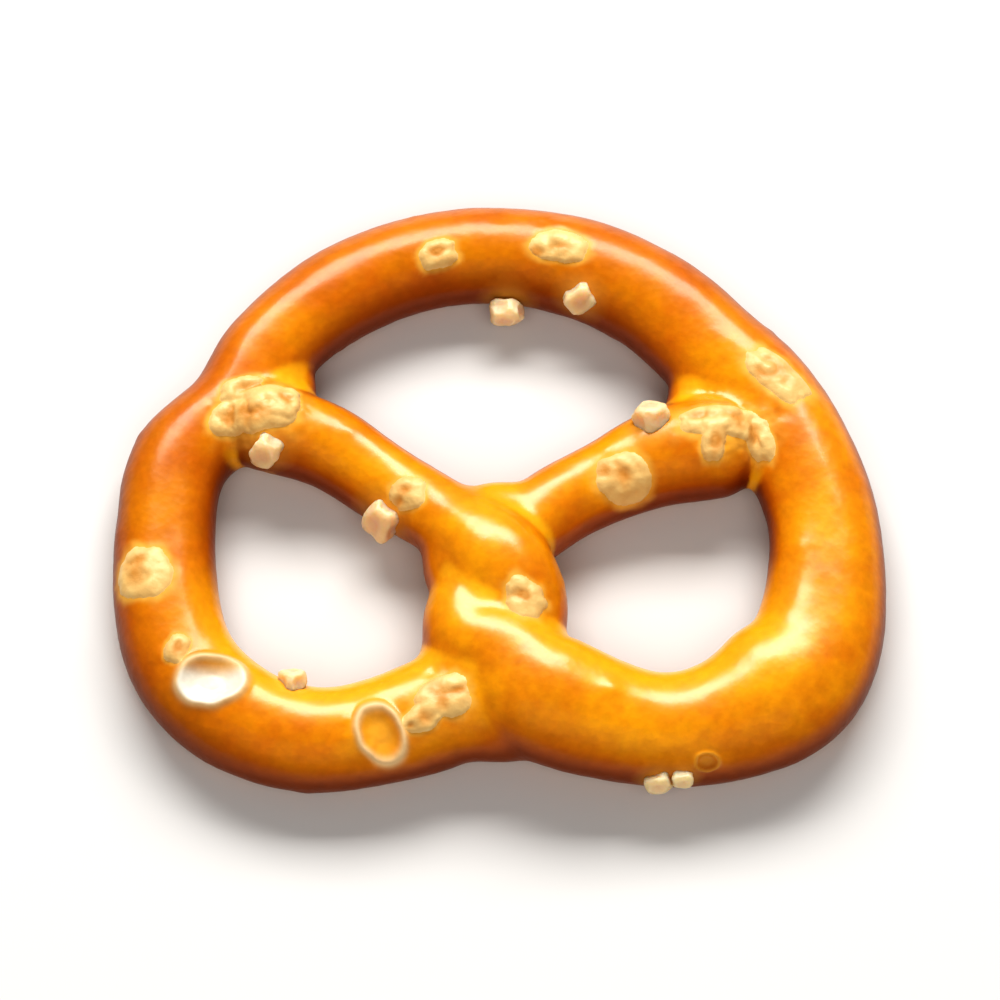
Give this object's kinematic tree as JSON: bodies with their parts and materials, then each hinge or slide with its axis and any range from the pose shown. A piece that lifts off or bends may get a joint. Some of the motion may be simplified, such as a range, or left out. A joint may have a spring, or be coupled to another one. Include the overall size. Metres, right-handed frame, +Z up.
{
  "type": "pretzel",
  "caption": "Small hard-baked pretzel twisted from one rope of dough, with a glossy golden-brown crust, coarse salt and a flat underside.",
  "frame": {"origin": "under the middle of the whole, on the surface it lies on", "axes": "+X to the right along its width, +Y towards the belly, its round side, +Z up"},
  "size_m": [0.0462, 0.0386, 0.0065],
  "materials": {
    "crust": "glossy golden-brown baked crust",
    "salt": "coarse cream-white salt"
  },
  "bodies": {
    "root": {"pretzel": "crust"}
  },
  "joints": []
}
